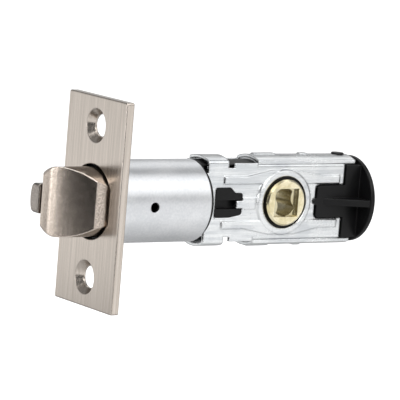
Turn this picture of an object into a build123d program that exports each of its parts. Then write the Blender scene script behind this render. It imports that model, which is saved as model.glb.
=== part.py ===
from build123d import *
import os
from math import radians, sin, sqrt

os.makedirs("parts", exist_ok=True)

# A tubular door latch with a deadlatch plunger.
# Origin: centre of the faceplate's front face, on the latch's long axis.
# +X runs from the faceplate into the door, +Z is up, and the bolt's bevel faces -Y.

# Faceplate
plate_width = 28.575
plate_height = 57.15
plate_thickness = 2.3
plate_corner = 0.6
plate_edge = 0.35
screw_spacing = 41.275
screw_radius = 3.0
screw_sink_radius = 4.7
screw_sink_angle = 90

# Clearances
slide_gap = 0.3
flat_side_gap = 1.2
bearing_gap = 0.05
seat_gap = 0.03

# Latch bolt head
bolt_throw = 12.7
bolt_inside = 9.3
bolt_tube_gap = 1.1
bolt_flat = 8.1
bolt_back_flat = 5.3
nose_land = 2.6
bevel_end = 1.9
nose_radius = 3.0
nose_corner = 2.0
bevel_radius = 3.0
bolt_back_radius = 1.2
bolt_edge = 0.45
bolt_pin_cover = 1.0
bolt_pin_rise = 2.0

# Deadlatch plunger beside the bolt
plunger_reach = 13.0
plunger_inside = 5.0
plunger_half_height = 4.0
plunger_corner = 1.7
plunger_edge = 0.6
rod_radius = 1.0
rod_seat = 7.0
rod_lead = 0.4

# Barrel tube
tube_radius = 11.4
tube_wall = 0.8
tube_end = 32.2
tube_seat = 0.8
tube_hole_x = 13.5
tube_hole_radius = 1.4
tube_edge = 0.3

# Plastic plug in the tube's rear end
plug_length = 9.0
plug_overhang = 1.0
tongue_reach = 8.0
tongue_width = 3.8
tongue_cover = 0.86
case_pin_radius = 1.2
case_pin_cover = 0.22
finger_depth = 2.7
finger_proud = 0.05
finger_half_height = 4.05
finger_root = 1.0
finger_shoulder = 4.2
finger_waist = 2.4
finger_end_gap = 0.15
upper_tip_z = 2.5
lower_tip_z = 3.3
finger_corner = 0.5
finger_slot_z = -0.55
finger_slot_half_height = 1.25
finger_slot_depth = 2.0
rail_inner_z = 10.1
rail_crown = 11.3
rail_gap = 0.15
rail_half_depth = 4.3

# Sheet steel case
sheet = 0.9
case_half_depth = 5.4
case_front = 34.3
crown_radius = 12.7
near_rear = 81.0
near_flange_y = 3.5
bend_radius = 1.1
ear_end = 41.0
notch_end = 43.0
cover_front = 51.0
cover_rear = 84.6
cover_lip_gap = 0.1
fold_gap = 0.02
window_frame = 3.0
window_end = 46.4
window_tab_length = 2.1
window_tab_half_height = 1.0
rib_height = 0.5
rib_inner_z = 5.0
rib_outer_z = 7.5
pad_height = 0.3
pad_end = 51.0
pad_z = -0.25
pad_half_height = 1.75
wing_reach = 13.0
wing_top_reach = 4.5
wing_top_z = 9.2
front_rib_start = 39.5
rear_rib_end = 79.5
rear_slot_start = 71.4
rear_slot_half_height = 4.8
rear_slot_corner = 1.2
notch_depth = 1.3
emboss_slope = 35
flat_cover = 1.8
bead_width = 3.0
bead_corner = 1.0
bead_height = 0.35
front_bead_x = 56.0
front_bead_length = 8.4
rear_bead_x = 69.5
rear_bead_length = 3.6

# Hub and its bearings
backset = 60.325
hub_radius = 6.5
hub_half_length = 7.2
hub_edge = 0.5
shoulder_radius = 8.0
shoulder_inner_y = 2.5
ring_radius = 9.4
ring_height = 0.8
ring_bore = 7.4
bush_flange = 0.4
bush_recess = 0.5
spindle_side = 7.9
spindle_recess = 1.2
spindle_web_radius = 3.95
spindle_waist = 2.3
spindle_bump_radius = 3.0
spindle_turn = 14
lobe_ceiling_gap = 0.98
lobe_half_width = 1.0
lobe_half_depth = 1.0
lobe_rest_angle = 45

# Bolt bar and retractor
bar_half_depth = 1.2
bar_half_height = 2.8
bar_front = -7.6
bar_rear = 40.2
bar_pin_x = -5.8
bar_pin_radius = 0.8
bar_corner = 0.6
pin_edge = 0.2
retractor_pin_x = 38.0
retractor_pin_radius = 1.1
retractor_sheet = 0.8
retractor_front = 35.2
retractor_throat = 3.0
retractor_lip = 1.0
retractor_corner = 0.8
retractor_web_end = 40.8
arm_inner_z = 6.8
arm_end = 60.0
pad_inner_z = 7.3
pad_depth = 2.0
pad_gap = 0.5

# Springs
spring_bore_radius = 4.5
spring_bore_front = -4.0
bolt_spring_radius = 3.8
bolt_spring_wire = 0.45
bolt_spring_turns = 8
plunger_spring_radius = 1.45
plunger_spring_wire = 0.22
plunger_spring_turns = 9
washer_radius = 4.9
washer_thickness = 0.6
washer_bore_gap = 0.4

# Deadlocking dog
dog_pivot_x = 31.2
dog_pivot_drop = 0.6
dog_boss_radius = 1.7
dog_pin_radius = 0.8
dog_pin_half_length = 3.5
dog_half_thickness = 1.2
dog_tip_x = 24.7
dog_finger = 1.6
dog_tip_gap = 1.4
dog_rod_gap = 0.475
dog_arm_depth = 1.1
dog_pocket_room = 1.2
dog_pocket_wall = 1.0

# Rear cap
cap_radius = 12.2
cap_disc_x = 86.3
cap_disc_thickness = 1.3
cap_core_start = 77.0
cap_face = 6.0
cap_shoulder_x = 81.3
cap_shoulder_drop = 1.5
fin_start = 73.6
fin_half_thickness = 0.95
fin_top_y = 11.6
cap_gap = 0.1
cap_core_gap = 0.8
cap_knob_x = 82.0
cap_knob_radius = 1.8
cap_knob_rise = 0.4
cap_nub_radius = 1.0
cap_edge = 0.25

# Worked out sizes
tube_inner = tube_radius - tube_wall
bolt_radius = tube_inner - bolt_tube_gap
opening_radius = tube_inner - slide_gap
plunger_inner_y = bolt_back_flat + slide_gap
plunger_outer_y = opening_radius - slide_gap
rod_y = (plunger_inner_y + plunger_outer_y) / 2
plug_front = tube_end - plug_length
plug_rear = tube_end + plug_overhang
plug_radius = tube_inner - bearing_gap
rod_end = plug_front + rod_lead
plate_y = case_half_depth - sheet
near_crown_radius = crown_radius - sheet - fold_gap
flat_half_height = crown_radius - flat_cover
notch_floor_z = flat_half_height - notch_depth
tongue_outer = sqrt(plug_radius**2 - case_half_depth**2) - tongue_cover
tongue_inner = tongue_outer - tongue_width
case_pin_z = (tongue_inner + tongue_outer) / 2
case_pin_half_length = sqrt(plug_radius**2 - (case_pin_z + case_pin_radius) ** 2) - case_pin_cover
retractor_height = near_crown_radius - sheet - lobe_ceiling_gap
retractor_inner_y = bar_half_depth + bearing_gap
retractor_outer_y = retractor_inner_y + retractor_sheet
lobe_reach = near_crown_radius - sheet - lobe_ceiling_gap
dog_arm_y = rod_y - rod_radius - dog_rod_gap - dog_arm_depth
dog_pivot_y = dog_arm_y - dog_pivot_drop
dog_tip_y = bar_half_depth + dog_tip_gap
cap_half_height = near_crown_radius - sheet - cap_core_gap
cap_shoulder_half_height = near_crown_radius - cap_shoulder_drop
cap_knob_top = crown_radius + cap_knob_rise
ring_y = case_half_depth + ring_height
ring_recess_radius = ring_radius - sheet
bush_seat_y = plate_y + ring_height - seat_gap
shoulder_outer_y = bush_seat_y - bush_flange - bearing_gap
washer_x = plug_front - washer_thickness
lobe_centre = lobe_reach - lobe_half_width
lobe_lean = sin(radians(lobe_rest_angle))
pad_face = backset - lobe_centre * lobe_lean + lobe_half_width + pad_gap


def flat_sided_round(radius, flat_y, back_y):
    """Round outline, cut flat on its front side and on its back side."""
    with BuildSketch() as outline:
        Circle(radius)
        with Locations(((back_y - flat_y) / 2, 0)):
            Rectangle(flat_y + back_y, 2 * radius, mode=Mode.INTERSECT)
    return outline.sketch


def plunger_outline(gap):
    """The plunger's half-round outline, grown by gap."""
    with BuildSketch() as outline:
        Circle(plunger_outer_y + gap)
        with Locations((plunger_inner_y - gap, 0)):
            Rectangle(
                plunger_outer_y,
                2 * (plunger_half_height + gap),
                align=(Align.MIN, Align.CENTER),
                mode=Mode.INTERSECT,
            )
        fillet(outline.vertices().group_by(Axis.X)[-1], plunger_corner)
    return outline.sketch


def bar_pair(x_start, x_end, z_inner, z_outer):
    """Two bars, one above and one below the axis, in a side view."""
    with BuildSketch() as bars:
        for side in (-1, 1):
            with Locations(((x_start + x_end) / 2, side * (z_inner + z_outer) / 2)):
                Rectangle(x_end - x_start, z_outer - z_inner)
    return bars.sketch


def tongue_pair(half_width_grow):
    """The two front tongues of a case half, in a side view."""
    return bar_pair(
        plug_rear - tongue_reach,
        case_front + sheet,
        tongue_inner - half_width_grow,
        tongue_outer + half_width_grow,
    )


def crowned_pair(radius, y_start, y_end):
    """Cross-section of two crowned sheets, above and below, between two depths."""
    with BuildSketch() as sheets:
        Circle(radius)
        Circle(radius - sheet, mode=Mode.SUBTRACT)
        with Locations(((y_start + y_end) / 2, 0)):
            Rectangle(y_end - y_start, 2 * radius, mode=Mode.INTERSECT)
    return sheets.sketch


def crowned_channel(radius, outward, y_end):
    """Cross-section of a flat side at the case's depth with crowned flanges up to y_end."""
    side_y = outward * case_half_depth
    with BuildSketch() as section:
        add(crowned_pair(radius, min(side_y, y_end), max(side_y, y_end)))
        with Locations((outward * (plate_y + sheet / 2), 0)):
            Rectangle(sheet, 2 * sqrt(radius**2 - case_half_depth**2) - sheet)
        corners = section.vertices().filter_by(lambda v: abs(v.X - side_y) < fold_gap)
        fillet(corners, bend_radius)
    return section.sketch


def embossing(inset):
    """Outline of the ribs and of the wings that join them to the ring, in a side view."""
    with BuildSketch() as raised:
        add(
            bar_pair(
                front_rib_start + inset,
                rear_rib_end - inset,
                rib_inner_z + inset,
                rib_outer_z - inset,
            )
        )
        for up in (-1, 1):
            with BuildLine():
                Polyline(
                    (backset - wing_reach + inset, up * (rib_inner_z + inset)),
                    (backset - wing_reach + inset, up * (rib_outer_z - inset)),
                    (backset - wing_top_reach, up * (wing_top_z - inset)),
                    (backset + wing_top_reach, up * (wing_top_z - inset)),
                    (backset + wing_reach - inset, up * (rib_outer_z - inset)),
                    (backset + wing_reach - inset, up * (rib_inner_z + inset)),
                    close=True,
                )
            make_face()
    return raised.sketch


def tab_pad(inset):
    """Outline of the raised pad between the window's tab and the ring, in a side view."""
    with BuildSketch() as pad:
        with Locations((window_end - window_tab_length, pad_z)):
            Rectangle(
                pad_end - window_end + window_tab_length - inset,
                2 * (pad_half_height - inset),
                align=(Align.MIN, Align.CENTER),
            )
    return pad.sketch


def finger_outline():
    """Outline of the plug's two fingers as one piece, seen in the case window."""
    tip_x = window_end - finger_end_gap
    with BuildSketch() as outline:
        with BuildLine():
            Polyline(
                (case_front + window_frame, finger_half_height),
                (window_end - finger_shoulder, finger_half_height),
                (window_end - finger_waist, upper_tip_z),
                (tip_x, upper_tip_z),
                (tip_x, -lower_tip_z),
                (window_end - finger_shoulder, -finger_half_height),
                (case_front + window_frame, -finger_half_height),
                close=True,
            )
        make_face()
        fillet(outline.vertices(), finger_corner)
    return outline.sketch


def side_plane(outward, distance):
    """Plane square to Y whose normal points to the near (-1) or the far (1) side."""
    return Plane(origin=(0, outward * distance, 0), x_dir=(1, 0, 0), z_dir=(0, outward, 0))


def coil_spring(start, end, axis_y, radius, wire, turns):
    """A helical spring with its axis along X."""
    with BuildPart() as spring:
        with BuildLine() as coil:
            Helix(
                pitch=(end - start - 2 * wire) / turns,
                height=end - start - 2 * wire,
                radius=radius,
                center=(start + wire, axis_y, 0),
                direction=(1, 0, 0),
            )
        with BuildSketch(Plane(coil.line @ 0, z_dir=coil.line % 0)):
            Circle(wire)
        sweep(is_frenet=True)
    return spring.part


def save(part, name):
    """Label one finished piece and write its file."""
    part.label = name
    export_step(part, f"parts/{name}.step")


# Faceplate: one stamped plate, its opening shaped to the bolt and the plunger.
with BuildPart() as faceplate:
    with BuildSketch(Plane.YZ):
        RectangleRounded(plate_width, plate_height, plate_corner)
    extrude(amount=plate_thickness)
    fillet(faceplate.faces().sort_by(Axis.X)[0].edges(), plate_edge)
    with BuildSketch(Plane.YZ):
        add(flat_sided_round(opening_radius, bolt_flat + flat_side_gap, bolt_back_flat + slide_gap))
        add(plunger_outline(slide_gap))
    extrude(amount=plate_thickness, mode=Mode.SUBTRACT)
    with BuildSketch(Plane.YZ.offset(plate_thickness)):
        Circle(tube_radius + seat_gap)
        Circle(tube_inner - seat_gap, mode=Mode.SUBTRACT)
    extrude(amount=-tube_seat, mode=Mode.SUBTRACT)
    with Locations(
        Plane((0, 0, screw_spacing / 2), z_dir=(-1, 0, 0)),
        Plane((0, 0, -screw_spacing / 2), z_dir=(-1, 0, 0)),
    ):
        CounterSinkHole(screw_radius, screw_sink_radius, plate_thickness, screw_sink_angle)
save(faceplate.part, "faceplate")

# Latch bolt: a round head with a flat front side, a land at the nose and a bevel.
with BuildPart() as latch_bolt:
    with BuildSketch(Plane.YZ.offset(-bolt_throw)):
        add(flat_sided_round(bolt_radius, bolt_flat, bolt_back_flat))
    extrude(amount=bolt_throw + bolt_inside)
    with BuildSketch(Plane.XY.offset(-bolt_radius)) as side_view:
        with BuildLine():
            Polyline(
                (bolt_inside, bolt_back_flat),
                (-bolt_throw, bolt_back_flat),
                (-bolt_throw, bolt_back_flat - nose_land),
                (-bevel_end, -bolt_flat),
                (bolt_inside, -bolt_flat),
                close=True,
            )
        make_face()
        nose_corners = side_view.vertices().group_by(Axis.X)[0].sort_by(Axis.Y)
        bevel_foot = side_view.vertices().group_by(Axis.X)[1]
        fillet(bevel_foot, bevel_radius)
        fillet(nose_corners[0], nose_radius)
        fillet(nose_corners[-1], bolt_back_radius)
    extrude(amount=2 * bolt_radius, mode=Mode.INTERSECT)
    with BuildSketch(Plane.XZ) as nose_ends:
        with Locations(((bolt_inside - bolt_throw) / 2, 0)):
            Rectangle(bolt_inside + bolt_throw, 2 * bolt_radius)
        fillet(nose_ends.vertices().group_by(Axis.X)[0], nose_corner)
    extrude(amount=bolt_radius, both=True, mode=Mode.INTERSECT)
    rim = latch_bolt.edges().filter_by(
        lambda e: e.center().X < -plate_edge and abs(e.center().Z) > bolt_flat / 2
    )
    fillet(rim.filter_by(lambda e: e.bounding_box().min.X < -bevel_end - plate_edge), bolt_edge)
    with BuildSketch(Plane.YZ.offset(bolt_inside)):
        Circle(spring_bore_radius)
    extrude(amount=-(bolt_inside - spring_bore_front), mode=Mode.SUBTRACT)
    with BuildSketch(Plane.YZ.offset(spring_bore_front)):
        Rectangle(2 * (bar_half_depth + seat_gap), 2 * (bar_half_height + seat_gap))
    extrude(amount=-(spring_bore_front - bar_front + seat_gap), mode=Mode.SUBTRACT)
    with BuildSketch(Plane.XY.offset(-bolt_radius)):
        with Locations((bar_pin_x, 0)):
            Circle(bar_pin_radius + seat_gap)
    extrude(amount=bolt_radius + bar_half_height + bolt_pin_rise, mode=Mode.SUBTRACT)
save(latch_bolt.part, "latch_bolt")

# Bolt bar: flat steel bar from inside the head back to the retractor.
with BuildPart() as bolt_bar:
    with BuildSketch(Plane.XZ.offset(-bar_half_depth)):
        with Locations(((bar_front + bar_rear) / 2, 0)):
            Rectangle(bar_rear - bar_front, 2 * bar_half_height)
    extrude(amount=2 * bar_half_depth)
    with BuildSketch(Plane.XY.offset(-bar_half_height)):
        with Locations((bar_pin_x, 0)):
            Circle(bar_pin_radius + seat_gap)
    extrude(amount=2 * bar_half_height, mode=Mode.SUBTRACT)
    with BuildSketch(Plane.XZ.offset(-bar_half_depth)):
        with Locations((retractor_pin_x, 0)):
            Circle(retractor_pin_radius + seat_gap)
    extrude(amount=2 * bar_half_depth, mode=Mode.SUBTRACT)
    chamfer(bolt_bar.edges().filter_by(Axis.Y).sort_by(Axis.X)[-2:], bar_corner)
save(bolt_bar.part, "bolt_bar")

# Cross pin that holds the bar in the head, pressed in from below.
with BuildPart() as bolt_bar_pin:
    with BuildSketch(Plane.XY.offset(-bolt_radius + bolt_pin_cover)):
        with Locations((bar_pin_x, 0)):
            Circle(bar_pin_radius)
    extrude(amount=bolt_radius - bolt_pin_cover + bar_half_height + bolt_pin_rise - seat_gap)
    chamfer(bolt_bar_pin.edges(), pin_edge)
save(bolt_bar_pin.part, "bolt_bar_pin")

# Retractor: folded steel fork. Its arms pass over and under the hub, and its pads face the lobes.
with BuildPart() as retractor:
    for side in (-1, 1):
        with BuildSketch(Plane.XZ.offset(side * (retractor_inner_y + retractor_outer_y) / 2)):
            with BuildLine():
                FilletPolyline(
                    (retractor_front, bar_half_height + retractor_lip),
                    (retractor_front + retractor_throat, retractor_height),
                    (arm_end, retractor_height),
                    (arm_end, arm_inner_z),
                    (retractor_web_end, arm_inner_z),
                    (retractor_web_end, -arm_inner_z),
                    (arm_end, -arm_inner_z),
                    (arm_end, -retractor_height),
                    (retractor_front + retractor_throat, -retractor_height),
                    (retractor_front, -bar_half_height - retractor_lip),
                    close=True,
                    radius=retractor_corner,
                )
            make_face()
            with Locations((retractor_pin_x, 0)):
                Circle(retractor_pin_radius + seat_gap, mode=Mode.SUBTRACT)
        extrude(amount=retractor_sheet / 2, both=True)
    with BuildSketch(Plane.XZ):
        add(bar_pair(pad_face, pad_face + pad_depth, pad_inner_z, retractor_height))
    extrude(amount=retractor_outer_y, both=True)
save(retractor.part, "retractor")

# Pin through the retractor and the bar.
with BuildPart() as retractor_pin:
    with BuildSketch(Plane.XZ):
        with Locations((retractor_pin_x, 0)):
            Circle(retractor_pin_radius)
    extrude(amount=retractor_outer_y + retractor_sheet / 2, both=True)
    chamfer(retractor_pin.edges(), pin_edge)
save(retractor_pin.part, "retractor_pin")

# Deadlatch plunger: half-round nose beside the bolt, with a blind hole for its rod.
with BuildPart() as deadlatch_plunger:
    with BuildSketch(Plane.YZ.offset(-plunger_reach)):
        add(plunger_outline(0))
    extrude(amount=plunger_reach + plunger_inside)
    fillet(deadlatch_plunger.faces().sort_by(Axis.X)[0].edges(), plunger_edge)
    with BuildSketch(Plane.YZ.offset(plunger_inside)):
        with Locations((rod_y, 0)):
            Circle(rod_radius + seat_gap)
    extrude(amount=-rod_seat, mode=Mode.SUBTRACT)
save(deadlatch_plunger.part, "deadlatch_plunger")

# Plunger rod: carries the plunger's spring and works the dog.
with BuildPart() as plunger_rod:
    with BuildSketch(Plane.YZ.offset(plunger_inside - rod_seat + seat_gap)):
        with Locations((rod_y, 0)):
            Circle(rod_radius)
    extrude(amount=rod_end - plunger_inside + rod_seat - seat_gap)
    chamfer(plunger_rod.faces().sort_by(Axis.X)[-1].edges(), rod_lead)
save(plunger_rod.part, "plunger_rod")

# Barrel tube: drawn tube with a small hole on each side, seated in the faceplate's back.
with BuildPart() as barrel_tube:
    with BuildSketch(Plane.YZ.offset(plate_thickness - tube_seat + seat_gap)):
        Circle(tube_radius)
        Circle(tube_inner, mode=Mode.SUBTRACT)
    extrude(amount=tube_end - plate_thickness + tube_seat - seat_gap)
    chamfer(barrel_tube.faces().sort_by(Axis.X)[-1].edges(), tube_edge)
    with BuildSketch(Plane.XZ):
        with Locations((tube_hole_x, 0)):
            Circle(tube_hole_radius)
    extrude(amount=tube_radius, both=True, mode=Mode.SUBTRACT)
save(barrel_tube.part, "barrel_tube")

# Guide plug: moulded plug that holds the case's tongues, guides the bar and the rod,
# houses the dog and reaches back into the case window with two fingers.
with BuildPart() as guide_plug:
    with BuildSketch(Plane.YZ.offset(plug_front)):
        Circle(plug_radius)
    extrude(amount=plug_rear - plug_front)
    with BuildSketch(Plane.YZ.offset(tube_end + bearing_gap)):
        Circle(rail_crown)
        Rectangle(
            2 * rail_half_depth,
            rail_crown,
            align=(Align.CENTER, Align.MIN),
            mode=Mode.INTERSECT,
        )
    extrude(amount=plug_overhang - bearing_gap)
    with BuildSketch(side_plane(-1, case_half_depth + finger_proud)):
        add(finger_outline())
    extrude(amount=-finger_depth)
    with BuildSketch(side_plane(-1, plate_y - cap_gap)):
        with Locations((plug_rear - finger_root, 0)):
            Rectangle(
                case_front + window_frame - plug_rear + 2 * finger_root,
                2 * finger_half_height,
                align=(Align.MIN, Align.CENTER),
            )
    extrude(amount=cap_gap + case_half_depth + finger_proud - plate_y - finger_depth)
    with BuildSketch(side_plane(-1, case_half_depth + finger_proud)):
        with Locations((plug_rear + finger_root, finger_slot_z)):
            Rectangle(
                window_end - case_front,
                2 * finger_slot_half_height,
                align=(Align.MIN, Align.CENTER),
            )
    extrude(amount=-finger_slot_depth, mode=Mode.SUBTRACT)
    with BuildSketch(Plane.YZ.offset(tube_end + bearing_gap)):
        Circle(rail_crown)
        with Locations((0, rail_inner_z)):
            Rectangle(
                2 * rail_half_depth,
                rail_crown,
                align=(Align.CENTER, Align.MIN),
                mode=Mode.INTERSECT,
            )
    extrude(amount=cover_front - rail_gap - tube_end - bearing_gap)
    with BuildSketch(Plane.YZ.offset(plug_front)):
        Rectangle(2 * (bar_half_depth + slide_gap), 2 * (bar_half_height + slide_gap))
        with Locations((rod_y, 0)):
            Circle(rod_radius + slide_gap)
    extrude(amount=plug_rear - plug_front, mode=Mode.SUBTRACT)
    for outward in (-1, 1):
        with BuildSketch(side_plane(outward, plate_y + sheet / 2)):
            add(tongue_pair(bearing_gap))
        extrude(amount=sheet / 2 + bearing_gap, both=True, mode=Mode.SUBTRACT)
    with BuildSketch(Plane.XY):
        with Locations((plug_front + dog_pocket_wall, dog_tip_y - dog_pocket_room)):
            Rectangle(
                plug_rear - plug_front,
                rod_y + rod_radius + slide_gap - dog_tip_y + dog_pocket_room,
                align=(Align.MIN, Align.MIN),
            )
    extrude(amount=dog_half_thickness + bearing_gap, both=True, mode=Mode.SUBTRACT)
    with BuildSketch(Plane.XY):
        with Locations((dog_pivot_x, dog_pivot_y)):
            Circle(dog_pin_radius + seat_gap)
    extrude(amount=dog_pin_half_length + seat_gap, both=True, mode=Mode.SUBTRACT)
    with BuildSketch(Plane.XZ):
        for side in (-1, 1):
            with Locations((plug_rear - tongue_reach / 2, side * case_pin_z)):
                Circle(case_pin_radius + seat_gap)
    extrude(amount=plug_radius, both=True, mode=Mode.SUBTRACT)
save(guide_plug.part, "guide_plug")

# Two pins through the plug and the case's tongues.
with BuildPart() as case_pins:
    with BuildSketch(Plane.XZ):
        for side in (-1, 1):
            with Locations((plug_rear - tongue_reach / 2, side * case_pin_z)):
                Circle(case_pin_radius)
    extrude(amount=case_pin_half_length, both=True)
    chamfer(case_pins.edges(), pin_edge)
save(case_pins.part, "case_pins")

# Near case half: folded sheet channel with bowed ears, a window, ribs and a raised hub ring.
with BuildSketch() as window:
    offset(finger_outline(), finger_end_gap)
    with Locations((window_end - window_tab_length / 2, finger_slot_z)):
        Rectangle(window_tab_length, 2 * window_tab_half_height, mode=Mode.SUBTRACT)
with BuildPart() as case_near_half:
    with BuildSketch(Plane.YZ.offset(cover_front)):
        add(crowned_channel(near_crown_radius, -1, near_flange_y))
    extrude(amount=near_rear - cover_front)
    with BuildSketch(Plane.YZ.offset(case_front)):
        add(crowned_channel(crown_radius, -1, plate_y - cap_gap))
    extrude(amount=ear_end - case_front)
    with BuildSketch(side_plane(-1, plate_y)):
        with Locations((ear_end - sheet, 0)):
            Rectangle(
                cover_front - ear_end + 2 * sheet,
                2 * notch_floor_z,
                align=(Align.MIN, Align.CENTER),
            )
        with Locations((notch_end, 0)):
            Rectangle(
                cover_front - notch_end - cap_gap,
                2 * flat_half_height,
                align=(Align.MIN, Align.CENTER),
            )
        add(tongue_pair(0))
    extrude(amount=sheet)
    with BuildSketch(side_plane(-1, case_half_depth)):
        add(embossing(0))
    extrude(amount=rib_height, taper=emboss_slope)
    with BuildSketch(side_plane(-1, case_half_depth)):
        add(tab_pad(0))
    extrude(amount=pad_height, taper=emboss_slope)
    with BuildSketch(side_plane(-1, case_half_depth)):
        with Locations((backset, 0)):
            Circle(ring_radius)
    extrude(amount=ring_height, taper=emboss_slope)
    with BuildSketch(side_plane(-1, plate_y)):
        add(embossing(sheet / 2))
    extrude(amount=rib_height, mode=Mode.SUBTRACT)
    with BuildSketch(side_plane(-1, plate_y)):
        add(tab_pad(sheet / 2))
    extrude(amount=pad_height, mode=Mode.SUBTRACT)
    with BuildSketch(side_plane(-1, plate_y)):
        with Locations((backset, 0)):
            Circle(ring_recess_radius)
    extrude(amount=ring_height, mode=Mode.SUBTRACT)
    with BuildSketch(side_plane(-1, plate_y)):
        with Locations((backset, 0)):
            Circle(ring_bore)
        add(window.sketch)
        with Locations((rear_slot_start, 0)):
            RectangleRounded(
                2 * (near_rear - rear_slot_start),
                2 * rear_slot_half_height,
                rear_slot_corner,
                align=(Align.MIN, Align.CENTER),
            )
        with Locations(
            (plug_rear - tongue_reach / 2, case_pin_z),
            (plug_rear - tongue_reach / 2, -case_pin_z),
        ):
            Circle(case_pin_radius + seat_gap)
    extrude(amount=sheet + ring_height, mode=Mode.SUBTRACT)
    with BuildSketch(Plane.XY.offset(notch_floor_z)):
        with Locations((cap_knob_x, 0)):
            Circle(cap_knob_radius + cap_gap)
    extrude(amount=crown_radius, mode=Mode.SUBTRACT)
save(case_near_half.part, "case_near_half")

# Far case half: flat in front, behind it a channel whose flanges lap over the near half.
with BuildPart() as case_far_half:
    with BuildSketch(Plane.YZ.offset(cover_front)):
        add(crowned_channel(crown_radius, 1, -case_half_depth + cover_lip_gap))
    extrude(amount=cover_rear - cover_front)
    with BuildSketch(side_plane(1, plate_y)):
        with Locations((case_front, 0)):
            Rectangle(
                cover_front - case_front + sheet,
                2 * flat_half_height,
                align=(Align.MIN, Align.CENTER),
            )
        add(tongue_pair(0))
    extrude(amount=sheet)
    with BuildSketch(side_plane(1, case_half_depth)):
        add(embossing(0))
    extrude(amount=rib_height, taper=emboss_slope)
    with BuildSketch(side_plane(1, case_half_depth)):
        with Locations((backset, 0)):
            Circle(ring_radius)
    extrude(amount=ring_height, taper=emboss_slope)
    with BuildSketch(side_plane(1, plate_y)):
        add(embossing(sheet / 2))
    extrude(amount=rib_height, mode=Mode.SUBTRACT)
    with BuildSketch(side_plane(1, plate_y)):
        with Locations((backset, 0)):
            Circle(ring_recess_radius)
    extrude(amount=ring_height, mode=Mode.SUBTRACT)
    for up in (-1, 1):
        for bead_x, bead_length in (
            (front_bead_x, front_bead_length),
            (rear_bead_x, rear_bead_length),
        ):
            with BuildSketch(Plane.XY.offset(up * (crown_radius - sheet / 2))):
                with Locations((bead_x, 0)):
                    RectangleRounded(bead_length, bead_width, bead_corner)
            extrude(amount=up * (bead_height + sheet / 2), taper=emboss_slope)
    with BuildSketch(side_plane(1, plate_y)):
        with Locations((backset, 0)):
            Circle(ring_bore)
        with Locations((rear_slot_start, 0)):
            RectangleRounded(
                2 * (cover_rear - rear_slot_start),
                2 * rear_slot_half_height,
                rear_slot_corner,
                align=(Align.MIN, Align.CENTER),
            )
        with Locations(
            (plug_rear - tongue_reach / 2, case_pin_z),
            (plug_rear - tongue_reach / 2, -case_pin_z),
        ):
            Circle(case_pin_radius + seat_gap)
    extrude(amount=sheet + ring_height, mode=Mode.SUBTRACT)
    with BuildSketch(Plane.XY.offset(notch_floor_z)):
        with Locations((cap_knob_x, 0)):
            Circle(cap_knob_radius + cap_gap)
    extrude(amount=crown_radius, mode=Mode.SUBTRACT)
save(case_far_half.part, "case_far_half")

# Rear cap: moulded plug with a round end, slotted into the case from behind.
with BuildPart() as rear_cap:
    with BuildSketch(Plane.YZ.offset(cap_disc_x)):
        Circle(cap_radius)
    extrude(amount=cap_disc_thickness)
    fillet(rear_cap.edges(), cap_edge)
    with BuildSketch(Plane.YZ.offset(cap_core_start)):
        RectangleRounded(
            2 * (plate_y - cap_gap),
            2 * cap_half_height,
            bend_radius,
        )
    extrude(amount=cap_disc_x - cap_core_start)
    for outward, shoulder_x in ((-1, cap_shoulder_x), (1, cover_rear + slide_gap)):
        with BuildSketch(side_plane(outward, plate_y - cap_gap)):
            with Locations((rear_slot_start + slide_gap, 0)):
                RectangleRounded(
                    2 * (cap_disc_x - rear_slot_start - slide_gap),
                    2 * (rear_slot_half_height - slide_gap),
                    rear_slot_corner - slide_gap,
                    align=(Align.MIN, Align.CENTER),
                )
            with Locations((shoulder_x, 0)):
                Rectangle(
                    cap_disc_x - shoulder_x,
                    2 * cap_shoulder_half_height,
                    align=(Align.MIN, Align.CENTER),
                )
            with Locations((cap_disc_x, 0)):
                Rectangle(
                    2 * cap_disc_x,
                    2 * cap_radius,
                    align=(Align.MIN, Align.CENTER),
                    mode=Mode.SUBTRACT,
                )
        extrude(amount=cap_face - plate_y + cap_gap)
        with BuildSketch(Plane.XY):
            with BuildLine():
                Polyline(
                    (fin_start, outward * (cap_face - cap_gap)),
                    (cap_disc_x, outward * (cap_face - cap_gap)),
                    (cap_disc_x, outward * fin_top_y),
                    close=True,
                )
            make_face()
        extrude(amount=fin_half_thickness, both=True)
        with BuildSketch(side_plane(outward, case_half_depth + bearing_gap)):
            with Locations((rear_slot_start + slide_gap, 0)):
                Circle(cap_nub_radius)
        extrude(amount=cap_face - case_half_depth - bearing_gap)
    with BuildSketch(Plane.XY.offset(cap_half_height)):
        with Locations((cap_knob_x, 0)):
            Circle(cap_knob_radius)
    extrude(amount=cap_knob_top - cap_half_height)
    fillet(rear_cap.faces().sort_by(Axis.Z)[-1].edges(), cap_edge)
save(rear_cap.part, "rear_cap")

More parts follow.
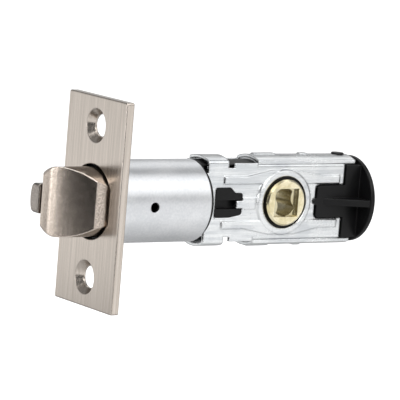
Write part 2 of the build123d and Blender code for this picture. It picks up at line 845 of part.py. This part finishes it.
# Spindle hub: turned and milled brass, with a lobe for each pad of the retractor.
with BuildPart() as spindle_hub:
    with BuildSketch(Plane.XZ):
        with Locations((backset, 0)):
            Circle(hub_radius)
    extrude(amount=hub_half_length, both=True)
    chamfer(spindle_hub.edges(), hub_edge)
    for outward in (-1, 1):
        with BuildSketch(side_plane(outward, shoulder_inner_y)):
            with Locations((backset, 0)):
                Circle(shoulder_radius)
        extrude(amount=shoulder_outer_y - shoulder_inner_y)
    with BuildSketch(Plane.XZ):
        with Locations((backset, 0)):
            with PolarLocations(
                lobe_centre / 2,
                2,
                start_angle=90 + lobe_rest_angle,
                angular_range=180 - 2 * lobe_rest_angle,
                endpoint=True,
            ):
                SlotCenterToCenter(lobe_centre, 2 * lobe_half_width)
    extrude(amount=lobe_half_depth, both=True)
    for outward in (-1, 1):
        with BuildSketch(side_plane(outward, hub_half_length)):
            with Locations((backset, 0)):
                Rectangle(spindle_side, spindle_side)
        extrude(amount=-spindle_recess, mode=Mode.SUBTRACT)
    with BuildSketch(Plane.XZ):
        with Locations(Location((backset, 0, 0), (0, 0, spindle_turn))):
            Circle(spindle_web_radius)
            with Locations(
                (-spindle_waist - spindle_bump_radius, 0),
                (spindle_waist + spindle_bump_radius, 0),
            ):
                Circle(spindle_bump_radius, mode=Mode.SUBTRACT)
    extrude(amount=hub_half_length, both=True, mode=Mode.SUBTRACT)
save(spindle_hub.part, "spindle_hub")

# Hub bushes: flanged rings in the raised rings of the case.
for outward, bush_name in ((-1, "hub_bush_near"), (1, "hub_bush_far")):
    with BuildPart() as hub_bush:
        with BuildSketch(side_plane(outward, bush_seat_y - bush_flange)):
            with Locations((backset, 0)):
                Circle(ring_recess_radius - seat_gap)
                Circle(hub_radius + bearing_gap, mode=Mode.SUBTRACT)
        extrude(amount=bush_flange)
        with BuildSketch(side_plane(outward, bush_seat_y - bush_flange)):
            with Locations((backset, 0)):
                Circle(ring_bore - seat_gap)
                Circle(hub_radius + bearing_gap, mode=Mode.SUBTRACT)
        extrude(amount=ring_y - bush_seat_y + bush_flange - bush_recess)
    save(hub_bush.part, bush_name)

# Springs behind the bolt's head and behind the plunger, and the washer that they push on.
save(
    coil_spring(
        spring_bore_front,
        washer_x,
        0,
        bolt_spring_radius,
        bolt_spring_wire,
        bolt_spring_turns,
    ),
    "bolt_spring",
)
save(
    coil_spring(
        plunger_inside + seat_gap,
        plug_front - seat_gap,
        rod_y,
        plunger_spring_radius,
        plunger_spring_wire,
        plunger_spring_turns,
    ),
    "plunger_spring",
)
with BuildPart() as spring_washer:
    with BuildSketch(Plane.YZ.offset(washer_x)):
        Circle(washer_radius)
        Circle(bar_half_height + washer_bore_gap, mode=Mode.SUBTRACT)
    extrude(amount=washer_thickness)
save(spring_washer.part, "spring_washer")

# Deadlocking dog: a small lever whose finger drops towards the bar when the plunger goes in.
with BuildPart() as deadlock_dog:
    with BuildSketch(Plane.XY):
        with Locations((dog_pivot_x, dog_pivot_y)):
            Circle(dog_boss_radius)
        with Locations((dog_tip_x, dog_arm_y)):
            Rectangle(dog_pivot_x - dog_tip_x, dog_arm_depth, align=(Align.MIN, Align.MIN))
        with Locations((dog_tip_x, dog_tip_y)):
            Rectangle(dog_finger, dog_arm_y + dog_arm_depth - dog_tip_y, align=(Align.MIN, Align.MIN))
        with Locations((dog_pivot_x, dog_pivot_y)):
            Circle(dog_pin_radius + bearing_gap, mode=Mode.SUBTRACT)
    extrude(amount=dog_half_thickness, both=True)
save(deadlock_dog.part, "deadlock_dog")

# The dog's pin, held in the plug.
with BuildPart() as dog_pin:
    with BuildSketch(Plane.XY):
        with Locations((dog_pivot_x, dog_pivot_y)):
            Circle(dog_pin_radius)
    extrude(amount=dog_pin_half_length, both=True)
save(dog_pin.part, "dog_pin")
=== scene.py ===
from math import cos, pi, radians, sin

import bmesh
import bpy
from mathutils import Matrix, Vector


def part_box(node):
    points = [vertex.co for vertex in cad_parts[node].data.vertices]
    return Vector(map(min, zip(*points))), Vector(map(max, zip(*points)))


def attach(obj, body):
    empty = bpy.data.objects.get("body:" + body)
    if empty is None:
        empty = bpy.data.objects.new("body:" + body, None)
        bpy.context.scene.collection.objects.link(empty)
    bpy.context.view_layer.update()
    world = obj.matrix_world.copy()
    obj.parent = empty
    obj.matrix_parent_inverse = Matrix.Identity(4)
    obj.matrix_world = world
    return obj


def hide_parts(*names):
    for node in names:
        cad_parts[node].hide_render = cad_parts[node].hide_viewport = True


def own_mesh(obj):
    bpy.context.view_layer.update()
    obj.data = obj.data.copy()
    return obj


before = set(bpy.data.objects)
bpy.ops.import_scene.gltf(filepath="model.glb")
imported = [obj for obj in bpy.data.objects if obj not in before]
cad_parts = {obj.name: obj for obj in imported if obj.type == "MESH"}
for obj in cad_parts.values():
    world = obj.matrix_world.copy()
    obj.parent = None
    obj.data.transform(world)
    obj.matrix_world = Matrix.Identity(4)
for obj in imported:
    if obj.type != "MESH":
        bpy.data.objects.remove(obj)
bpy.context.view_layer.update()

# Camera at the photograph's angle: to the left of the near side and a little above it,
# with a long lens, leaned over by a few degrees as the photograph is.
image_width_px = 400
focal_length_px = 3110.8
sensor_mm = 36.0
azimuth = radians(-35.22)
elevation = radians(7.97)
roll = radians(4.72)
camera_distance = 0.8587
look_at = Vector((0.040, 0.0, 0.0))
slide_right = -0.003333
slide_up = -0.000091
back = Vector((sin(azimuth) * cos(elevation), -cos(azimuth) * cos(elevation), sin(elevation)))
level_right = Vector((cos(azimuth), sin(azimuth), 0.0))
level_up = back.cross(level_right)
right = cos(roll) * level_right + sin(roll) * level_up
up = cos(roll) * level_up - sin(roll) * level_right
camera_place = look_at + camera_distance * back + slide_right * right + slide_up * up
camera_turn = Matrix((right, up, back)).transposed().to_4x4()
camera_data = bpy.data.cameras.new("camera")
camera_data.lens = focal_length_px / image_width_px * sensor_mm
camera_data.sensor_width = sensor_mm
camera_data.clip_start = 0.01
camera_data.clip_end = 50.0
camera = bpy.data.objects.new("camera", camera_data)
camera.matrix_world = Matrix.Translation(camera_place) @ camera_turn
bpy.context.scene.collection.objects.link(camera)
bpy.context.scene.camera = camera
bpy.context.scene.view_settings.view_transform = "Standard"


# Faceplate: stamped steel plate with satin nickel plating, brushed from end to end. Two
# countersunk screws hold it in the door's edge. Its name frames are left bare.
#
# Its finish, as every other one here, is written with a class that wraps a shader socket,
# so that a sum or a product of values adds its Math node, and one that makes the nodes.
class Value:
    """What a socket gives. It can be added, multiplied, and taken from a number."""

    def __init__(self, nodes, socket):
        self.nodes = nodes
        self.socket = socket

    def math(self, operation, first, second):
        return self.nodes.node("ShaderNodeMath", {"operation": operation}, {0: first, 1: second})

    def __add__(self, other):
        return self.math("ADD", self, other)

    def __rsub__(self, other):
        return self.math("SUBTRACT", other, self)

    def __mul__(self, other):
        return self.math("MULTIPLY", self, other)

    __radd__ = __add__
    __rmul__ = __mul__


class Nodes:
    """The nodes of a material or a world, round the shader that it starts with."""

    def __init__(self, owner, shader_name):
        owner.use_nodes = True
        self.tree = owner.node_tree
        self.shader = self.tree.nodes[shader_name]

    def node(self, kind, settings, values, output=0):
        """Adds a node, sets it, fills its sockets, and returns what it gives."""
        made = self.tree.nodes.new(kind)
        for name, setting in settings.items():
            setattr(made, name, setting)
        for name, value in values.items():
            self.put(made.inputs[name], value)
        return Value(self, made.outputs[output])

    def put(self, socket, value):
        """Links a value to a socket, or sets it. A colour is given without its alpha."""
        if isinstance(value, Value):
            self.tree.links.new(value.socket, socket)
        elif socket.type == "RGBA":
            socket.default_value = (*value, 1.0)
        else:
            socket.default_value = value

    def shade(self, **values):
        """Fills the shader's sockets, with _ for the spaces in their names."""
        for name, value in values.items():
            self.put(self.shader.inputs[name.replace("_", " ")], value)

    def step(self, value, low, high):
        """0 below low, 1 above high, smooth between."""
        return self.node(
            "ShaderNodeMapRange",
            {"interpolation_type": "SMOOTHSTEP"},
            {"Value": value, "From Min": low, "From Max": high},
        )

    def dot(self, first, second):
        """How far two directions agree: 1 for the same, 0 for square to each other."""
        return self.node(
            "ShaderNodeVectorMath", {"operation": "DOT_PRODUCT"}, {0: first, 1: second}, "Value"
        )


class Finish(Nodes):
    """A material, made of nodes round a Principled BSDF."""

    def __init__(self, name):
        self.material = bpy.data.materials.new(name)
        super().__init__(self.material, "Principled BSDF")

    def coordinates(self, stretch=(1.0, 1.0, 1.0)):
        """Object coordinates in metres, stretched along X, Y and Z."""
        place = self.node("ShaderNodeTexCoord", {}, {}, "Object")
        return self.node("ShaderNodeMapping", {}, {"Vector": place, "Scale": stretch})

    def depth(self):
        """How far back a point lies, in metres."""
        return self.node("ShaderNodeSeparateXYZ", {}, {0: self.coordinates()}, "Y")

    def noise(self, scale=1.0, detail=3.0, stretch=(1.0, 1.0, 1.0)):
        """Soft noise from 0 to 1 with `scale` lumps in a metre, or `stretch` along X, Y, Z."""
        return self.node(
            "ShaderNodeTexNoise",
            {},
            {
                "Vector": self.coordinates(stretch),
                "Scale": scale,
                "Detail": detail,
                "Roughness": 0.55,
            },
            "Fac",
        )

    def blend(self, factor, first, second):
        """Colour that goes from first to second as factor goes from 0 to 1."""
        factor_in, first_color_in, second_color_in, color_out = 0, 6, 7, 2
        return self.node(
            "ShaderNodeMix",
            {"data_type": "RGBA"},
            {factor_in: factor, first_color_in: first, second_color_in: second},
            color_out,
        )

    def rounded_edges(self, radius):
        """Normal that rounds sharp edges over a small radius."""
        return self.node("ShaderNodeBevel", {"samples": 6}, {"Radius": radius})

    def edge_wear(self, normal):
        """1 along sharp edges, 0 on open faces."""
        face = self.node("ShaderNodeNewGeometry", {}, {}, "Normal")
        return self.step(1.0 - self.dot(normal, face), low=0.01, high=0.25)

    def bump(self, height, distance, strength, normal):
        """Normal of a surface raised by height times distance in metres."""
        return self.node(
            "ShaderNodeBump",
            {},
            {"Strength": strength, "Distance": distance, "Height": height, "Normal": normal},
        )

    def cover(self, *nodes):
        """Gives this finish to CAD nodes."""
        for name in nodes:
            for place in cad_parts[name].material_slots:
                place.link = "OBJECT"
                place.material = self.material


plate_dark = (0.45, 0.404, 0.358)
plate_light = (0.60, 0.541, 0.488)
plate_stained = (0.52, 0.464, 0.413)
plate_bare = (0.80, 0.75, 0.68)
nickel = Finish("satin_nickel")
plate_edges = nickel.rounded_edges(0.0004)
plate_worn = nickel.edge_wear(plate_edges)
fine_brushing = nickel.noise(detail=2.0, stretch=(1500.0, 3200.0, 40.0))
broad_brushing = nickel.noise(detail=3.0, stretch=(500.0, 1100.0, 14.0))
plate_clouds = nickel.noise(60.0)
brushing = 0.6 * fine_brushing + 0.4 * broad_brushing
plate_color = nickel.blend(nickel.step(brushing, low=0.32, high=0.68), plate_dark, plate_light)
plate_color = nickel.blend(0.25 * plate_clouds, plate_color, plate_stained)
plate_color = nickel.blend(0.6 * plate_worn, plate_color, plate_bare)
nickel.shade(
    Base_Color=plate_color,
    Metallic=1.0,
    Roughness=0.17 + 0.10 * brushing,
    Normal=nickel.bump(brushing, distance=0.00002, strength=0.6, normal=plate_edges),
)
nickel.cover("faceplate")


# Latch bolt: a cast head with a flat ground on each side. Its bevel is a little crowned,
# runs over the nose in one round, and ends at the plate in a narrow second facet. Inside
# are the bore of its spring, the slot of the bar that draws it in, and their pin's hole.
def corners(node):
    """Lowest and highest corner of a CAD node at rest."""
    return [Vector(corner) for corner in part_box(node)]


def arc_on(outline, tip, centre, axis, turn, steps):
    """Carries the outline on from its last point in an arc, and returns the new last point."""
    arc = bmesh.ops.spin(
        outline, geom=[tip], cent=centre, axis=axis, angle=turn, steps=steps, use_merge=False
    )
    return arc["geom_last"][0]


def line_on(outline, tip, way):
    """Carries the outline on from its last point in a straight line."""
    line = bmesh.ops.extrude_vert_indiv(outline, verts=[tip])
    bmesh.ops.translate(outline, verts=line["verts"], vec=way)
    return line["verts"][0]


def mesh_object(name, shape):
    """Makes an object of a shape, with its faces turned outwards."""
    data = bpy.data.meshes.new(name)
    bmesh.ops.recalc_face_normals(shape, faces=shape.faces[:])
    shape.to_mesh(data)
    shape.free()
    made = bpy.data.objects.new(name, data)
    bpy.context.scene.collection.objects.link(made)
    return made


bolt_low, bolt_high = corners("latch_bolt")
bolt_radius = bolt_high.z
back_corner = 0.0012
nose_radius = 0.0045
nose_turn = radians(39)
bevel_length = 0.0122
bevel_turn = radians(17)
facet_turn = radians(19)
upright = (0, 0, 1)
profile = bmesh.new()
tip = profile.verts.new((bolt_low.x + back_corner, bolt_high.y, -bolt_radius))
corner_centre = tip.co - Vector((0, back_corner, 0))
tip = arc_on(profile, tip, corner_centre, upright, turn=pi / 2, steps=6)
nose_centre = tip.co + Vector((nose_radius, 0, 0))
tip = arc_on(profile, tip, nose_centre, upright, turn=nose_turn, steps=12)
bevel_radius = bevel_length / bevel_turn
bevel_centre = tip.co + bevel_radius * Vector((cos(nose_turn), sin(nose_turn), 0))
tip = arc_on(profile, tip, bevel_centre, upright, turn=bevel_turn, steps=10)
facet_angle = nose_turn + bevel_turn + facet_turn
facet_drop = tip.co.y - bolt_low.y
tip = line_on(profile, tip, (facet_drop * sin(facet_angle) / cos(facet_angle), -facet_drop, 0))
tip = line_on(profile, tip, (bolt_high.x - tip.co.x, 0, 0))
line_on(profile, tip, (0, bolt_high.y - bolt_low.y, 0))
profile_face = bmesh.ops.contextual_create(profile, geom=profile.verts[:])["faces"]
raised = bmesh.ops.extrude_face_region(profile, geom=profile_face)["geom"]
bmesh.ops.translate(
    profile,
    verts=[part for part in raised if isinstance(part, bmesh.types.BMVert)],
    vec=(0, 0, 2 * bolt_radius),
)
bolt_head = mesh_object("bolt_head", profile)

# The round bar that the head is cut from, bored from behind for the spring.
nose_rim = 0.0020
spring_bore_front = -0.0040
spring_bore_radius = 0.0045
bar_sides = 144
merge_distance = 0.000001
turned = bmesh.new()
tip = turned.verts.new((spring_bore_front, 0, 0))
tip = line_on(turned, tip, (0, 0, spring_bore_radius))
tip = line_on(turned, tip, (bolt_high.x - spring_bore_front, 0, 0))
tip = line_on(turned, tip, (0, 0, bolt_radius - spring_bore_radius))
tip = line_on(turned, tip, (bolt_low.x + nose_rim - bolt_high.x, 0, 0))
rim_centre = tip.co - Vector((0, 0, nose_rim))
tip = arc_on(turned, tip, rim_centre, (0, -1, 0), turn=pi / 2, steps=8)
line_on(turned, tip, (0, 0, -tip.co.z))
bmesh.ops.spin(
    turned,
    geom=turned.verts[:] + turned.edges[:],
    cent=(0, 0, 0),
    axis=(1, 0, 0),
    angle=2 * pi,
    steps=bar_sides,
    use_merge=True,
)
bmesh.ops.remove_doubles(turned, verts=turned.verts[:], dist=merge_distance)
round_bar = mesh_object("round_bar", turned)

# The slot for the bar, which ends inside the bore, and the hole for its pin, from below.
seat_gap = 0.00003
slot_end = spring_bore_front + spring_bore_radius
bar_low, bar_high = corners("bolt_bar")
slot_length = slot_end - bar_low.x
slot_width = bar_high.y - bar_low.y + 2 * seat_gap
slot_height = bar_high.z - bar_low.z + 2 * seat_gap
slot_size = Matrix.Diagonal((slot_length, slot_width, slot_height, 1))
slot_place = Matrix.Translation((bar_low.x - seat_gap + slot_length / 2, 0, 0))
slot = bmesh.new()
bmesh.ops.create_cube(slot, size=1, matrix=slot_place @ slot_size)
pin_low, pin_high = corners("bolt_bar_pin")
past_the_head = 0.0012
hole_radius = (pin_high.x - pin_low.x) / 2 + seat_gap
hole_top = pin_high.z + seat_gap
hole_bottom = -bolt_radius - past_the_head
hole = bmesh.new()
bmesh.ops.create_cone(
    hole,
    cap_ends=True,
    segments=32,
    radius1=hole_radius,
    radius2=hole_radius,
    depth=hole_top - hole_bottom,
    matrix=Matrix.Translation(((pin_low.x + pin_high.x) / 2, 0, (hole_top + hole_bottom) / 2)),
)
cutters = (
    (round_bar, "INTERSECT"),
    (mesh_object("bar_slot", slot), "DIFFERENCE"),
    (mesh_object("pin_hole", hole), "DIFFERENCE"),
)
for cutter, operation in cutters:
    cut = bolt_head.modifiers.new(cutter.name, "BOOLEAN")
    cut.operation = operation
    cut.object = cutter
cut_head = bolt_head.evaluated_get(bpy.context.evaluated_depsgraph_get())
head_mesh = bpy.data.meshes.new_from_object(cut_head)
bolt_head.modifiers.clear()
bolt_head.data = head_mesh
for cutter, operation in cutters:
    bpy.data.objects.remove(cutter)
least_sharp = radians(16)
head_mesh.shade_smooth()
head_mesh.set_sharp_from_angle(angle=least_sharp)
flats = bolt_head.modifiers.new("flats", "WEIGHTED_NORMAL")
flats.keep_sharp = True
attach(bolt_head, "bolt")
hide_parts("latch_bolt")


def tumbled_nickel(name, dark, light, worn):
    """Nickel plate with the fine even grain of tumbling, and edges worn bright."""
    finish = Finish(name)
    edges = finish.rounded_edges(0.0005)
    grain = finish.noise(3400.0, detail=4.0)
    clouds = finish.noise(700.0, detail=4.0)
    spots = finish.step(0.8 * grain + 0.2 * clouds, low=0.40, high=0.60)
    color = finish.blend(spots, dark, light)
    finish.shade(
        Base_Color=finish.blend(0.8 * finish.edge_wear(edges), color, worn),
        Metallic=1.0,
        Roughness=0.19 + 0.04 * clouds,
        Normal=finish.bump(grain, distance=0.00001, strength=0.3, normal=edges),
    )
    return finish


bolt_nickel = tumbled_nickel(
    "satin_nickel_bolt",
    dark=(0.41, 0.353, 0.305),
    light=(0.62, 0.54, 0.472),
    worn=(0.88, 0.82, 0.75),
)
head_mesh.materials.clear()
head_mesh.materials.append(bolt_nickel.material)
bolt_nickel.cover("latch_bolt")

# Deadlatch plunger: a half-round slug that slides beside the bolt, on a rod and a spring
# of its own. It is plated like the bolt, but darker.
plunger_nickel = tumbled_nickel(
    "satin_nickel_plunger",
    dark=(0.22, 0.195, 0.175),
    light=(0.36, 0.33, 0.30),
    worn=(0.48, 0.44, 0.40),
)
plunger_nickel.cover("deadlatch_plunger")

# Barrel: drawn steel tube with bluish zinc plating, marked by fine spots of the bath. It
# runs from the faceplate to the plug, which closes its rear end.
tube_dark = (0.65, 0.665, 0.685)
tube_light = (0.76, 0.77, 0.785)
tube_zinc = Finish("zinc_tube")
tube_edges = tube_zinc.rounded_edges(0.0004)
tube_grain = tube_zinc.noise(1500.0, detail=5.0)
tube_clouds = tube_zinc.noise(150.0, detail=4.0, stretch=(0.6, 1.0, 1.0))
tube_spots = tube_zinc.step(0.55 * tube_clouds + 0.45 * tube_grain, low=0.36, high=0.64)
tube_zinc.shade(
    Base_Color=tube_zinc.blend(tube_spots, tube_dark, tube_light),
    Metallic=1.0,
    Roughness=0.30 + 0.16 * tube_clouds,
    Normal=tube_zinc.bump(tube_grain, distance=0.00002, strength=0.3, normal=tube_edges),
)
tube_zinc.cover("barrel_tube")

# Case halves: stamped sheet steel with bright zinc plating, shinier than the tube, with
# sheared edges that catch the light. The far half's flanges wrap over the near half, and
# two pins hold their front tongues in the plug.
case_dark = (0.59, 0.61, 0.63)
case_light = (0.77, 0.785, 0.79)
case_sheared = (0.93, 0.94, 0.945)
case_zinc = Finish("zinc_sheet")
case_edges = case_zinc.rounded_edges(0.0006)
case_grain = case_zinc.noise(1800.0, detail=5.0)
case_clouds = case_zinc.noise(120.0, detail=4.0)
case_rolling = case_zinc.noise(detail=3.0, stretch=(60.0, 900.0, 900.0))
case_marks = case_zinc.step(0.5 * case_clouds + 0.5 * case_rolling, low=0.38, high=0.62)
case_color = case_zinc.blend(case_marks, case_dark, case_light)
case_height = 0.5 * case_grain + 0.5 * case_rolling
case_zinc.shade(
    Base_Color=case_zinc.blend(0.7 * case_zinc.edge_wear(case_edges), case_color, case_sheared),
    Metallic=1.0,
    Roughness=0.20 + 0.12 * case_clouds,
    Normal=case_zinc.bump(case_height, distance=0.00001, strength=0.4, normal=case_edges),
)
case_zinc.cover("case_near_half", "case_far_half")

# Plug, rear cap and hub bushes: moulded black plastic with a fine eroded texture. The plug
# joins the tube to the case, the cap closes the case, and the bushes carry the hub.
plastic_dark = (0.003, 0.003, 0.0032)
plastic_light = (0.006, 0.006, 0.0065)
plastic = Finish("black_plastic")
plastic_edges = plastic.rounded_edges(0.0004)
plastic_grain = plastic.noise(4200.0)
plastic_clouds = plastic.noise(140.0)
plastic.shade(
    Base_Color=plastic.blend(plastic_clouds, plastic_dark, plastic_light),
    Specular_IOR_Level=0.22,
    Roughness=0.30 + 0.12 * plastic_clouds,
    Normal=plastic.bump(plastic_grain, distance=0.00003, strength=0.5, normal=plastic_edges),
)
plastic.cover("guide_plug", "rear_cap", "hub_bush_near", "hub_bush_far")

# Spindle hub: turned brass, which turns in its two bushes and draws the bolt in. What lies sunk
# behind its near face, in the square recess, is painted darker: partly painted shade, partly the
# duller unpolished brass of its floor.
brass_dark = (0.66, 0.58, 0.36)
brass_light = (0.84, 0.77, 0.56)
brass_painted_shade = (0.20, 0.17, 0.09)
near_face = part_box("spindle_hub")[0][1]
brass = Finish("hub_brass")
brass_edges = brass.rounded_edges(0.00015)
brass_clouds = brass.noise(260.0, detail=4.0)
brass_grain = brass.noise(3000.0)
# Painted shade: the brass turns darker behind its near face, in the square recess, where shade
# falls, over its duller floor.
brass_recess_painted_shade = brass.step(brass.depth(), low=near_face + 0.0007, high=near_face + 0.0015)
brass_color = brass.blend(brass.step(brass_clouds, low=0.35, high=0.65), brass_dark, brass_light)
brass.shade(
    Base_Color=brass.blend(0.45 * brass_recess_painted_shade, brass_color, brass_painted_shade),
    Metallic=1.0,
    Roughness=0.18 + 0.12 * brass_clouds,
    Normal=brass.bump(brass_grain, distance=0.00002, strength=0.5, normal=brass_edges),
)
brass.cover("spindle_hub")

# Inner steel pieces: plain stamped and turned steel with a film of oil. They join the bolt
# to the hub and the plunger to its dog, or hold the case and the bolt's spring.
steel_dark = (0.30, 0.30, 0.31)
steel_light = (0.48, 0.48, 0.49)
steel = Finish("plain_steel")
steel_edges = steel.rounded_edges(0.00012)
steel_clouds = steel.noise(300.0, detail=4.0)
steel_grain = steel.noise(3500.0)
steel.shade(
    Base_Color=steel.blend(steel_clouds, steel_dark, steel_light),
    Metallic=1.0,
    Roughness=0.28 + 0.2 * steel_clouds,
    Normal=steel.bump(steel_grain, distance=0.00002, strength=0.5, normal=steel_edges),
)
steel.cover(
    "bolt_bar",
    "bolt_bar_pin",
    "retractor",
    "retractor_pin",
    "plunger_rod",
    "case_pins",
    "dog_pin",
    "deadlock_dog",
    "spring_washer",
)

# Springs: coils of drawn wire, darker than the plates. Each is wound anew here, in the place of
# its CAD spring.
wire_dark = (0.22, 0.22, 0.23)
wire_light = (0.40, 0.40, 0.41)
wire = Finish("spring_wire")
wire_spots = wire.noise(1600.0, detail=4.0)
wire.shade(
    Base_Color=wire.blend(wire_spots, wire_dark, wire_light),
    Metallic=1.0,
    Roughness=0.3 + 0.15 * wire_spots,
)
wire.cover("bolt_spring", "plunger_spring")


def wound_spring(node, wire_radius, turns):
    """Coil in the place of a CAD spring."""
    low, high = corners(node)
    start = Vector((low.x + wire_radius, (low.y + high.y) / 2, 0))
    coil_radius = high.z - wire_radius
    steps_in_turn = 24
    steps = steps_in_turn * turns
    coil = bmesh.new()
    ring = bmesh.ops.create_circle(coil, segments=10, radius=wire_radius)["verts"]
    bmesh.ops.rotate(coil, verts=ring, cent=(0, 0, 0), matrix=Matrix.Rotation(pi / 2, 3, "X"))
    bmesh.ops.translate(coil, verts=ring, vec=start + Vector((0, 0, coil_radius)))
    bmesh.ops.spin(
        coil,
        geom=coil.verts[:] + coil.edges[:],
        cent=start,
        axis=(1, 0, 0),
        dvec=((high.x - low.x - 2 * wire_radius) / steps, 0, 0),
        angle=2 * pi * turns,
        steps=steps,
    )
    bmesh.ops.holes_fill(coil, edges=[edge for edge in coil.edges if edge.is_boundary])
    spring = mesh_object(node.replace("spring", "coil"), coil)
    spring.data.shade_smooth()
    spring.data.materials.append(wire.material)
    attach(spring, "housing")
    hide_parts(node)
    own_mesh(spring)


wound_spring("bolt_spring", wire_radius=0.00045, turns=8)
wound_spring("plunger_spring", wire_radius=0.00022, turns=9)


# Floor: a sheet of paper that begins 20 cm in front of the latch and runs far back. It
# glows nearly white for the camera. In the metal it glows in front of the latch and far
# behind it, and is dim in between.
def light_path(nodes, *rays):
    """1 for rays of the named kinds, 0 for all others."""
    return sum(nodes.node("ShaderNodeLightPath", {}, {}, f"Is {ray} Ray") for ray in rays)


floor_height = -0.075
floor_front = -0.20
floor_reach = 6.0
floor_shape = bmesh.new()
bmesh.ops.create_grid(floor_shape, x_segments=1, y_segments=1, size=floor_reach)
floor_place = (0.0, floor_reach + floor_front, floor_height)
bmesh.ops.translate(floor_shape, verts=floor_shape.verts, vec=floor_place)
floor = mesh_object("floor", floor_shape)
paper_dark = (0.50, 0.50, 0.50)
paper_light = (0.54, 0.54, 0.54)
unlit = (0.0, 0.0, 0.0)
white = (1.0, 1.0, 1.0)
paper = Finish("floor_paper")
paper_fibres = paper.noise(900.0, detail=4.0)
floor_depth = paper.depth()
near_glow = 0.69 * (1.0 - paper.step(floor_depth, low=-0.14, high=0.06))
far_glow = 0.87 * paper.step(floor_depth, low=0.10, high=0.35)
glow_in_metal = light_path(paper, "Glossy") * (near_glow + far_glow)
glow = light_path(paper, "Camera", "Transmission") + glow_in_metal
paper.shade(
    Base_Color=paper.blend(paper_fibres, paper_dark, paper_light),
    Roughness=0.9,
    Emission_Color=paper.blend(glow, unlit, white),
    Emission_Strength=0.92,
)
floor.data.materials.append(paper.material)

# Room: white to the camera. The metal shows half of that white low down behind the latch,
# and a dim grey room elsewhere, which is dark behind the camera and lights the latch a
# little from all other sides.
room_strength = 0.30
away_from_camera = (0.571, 0.809, 0.0)
room_world = bpy.data.worlds.new("room")
bpy.context.scene.world = room_world
room = Nodes(room_world, "Background")
direction = room.node("ShaderNodeTexCoord", {}, {}, "Generated")
towards_back = room.dot(direction, away_from_camera)
towards_top = room.dot(direction, upright)
low_down = 1.0 - room.step(towards_top, low=0.15, high=0.40)
backdrop = 0.5 * room.step(towards_back, low=-0.2, high=0.3) * low_down
whiteness = light_path(room, "Camera") + light_path(room, "Glossy", "Transmission") * backdrop
level = room_strength * room.step(towards_back, low=-0.95, high=-0.45)
room.shade(Color=white, Strength=level + (1.0 - level) * whiteness)


# Studio light: seven soft boxes. The key light stands high in front on the right, the fill
# light low in front, two at the left end, one above, one above the front, and one behind.
def soft_box(name, place, width, height, radiance):
    """Plain white lamp turned to the latch, whose face has the given radiance."""
    lamp = bpy.data.lights.new(name, "AREA")
    lamp.shape = "RECTANGLE"
    lamp.size = width
    lamp.size_y = height
    lamp.energy = radiance * pi * width * height
    box = bpy.data.objects.new(name, lamp)
    aim = (look_at - Vector(place)).to_track_quat("-Z", "Y")
    box.matrix_world = Matrix.Translation(place) @ aim.to_matrix().to_4x4()
    bpy.context.scene.collection.objects.link(box)


soft_box("key_light", (0.56, -0.52, 0.67), width=0.80, height=0.74, radiance=1.45)
soft_box("fill_light", (0.22, -0.88, -0.08), width=1.10, height=0.36, radiance=1.0)
soft_box("left_light", (-0.82, -0.19, 0.06), width=0.27, height=0.44, radiance=4.2)
soft_box("side_light", (-0.80, 0.16, 0.06), width=0.36, height=0.44, radiance=1.0)
soft_box("top_light", (-0.30, -0.20, 0.86), width=0.60, height=0.70, radiance=2.4)
soft_box("front_light", (-0.20, -0.78, 0.48), width=0.70, height=0.40, radiance=5.0)
soft_box("back_light", (0.45, 0.55, 0.75), width=0.60, height=0.60, radiance=1.0)
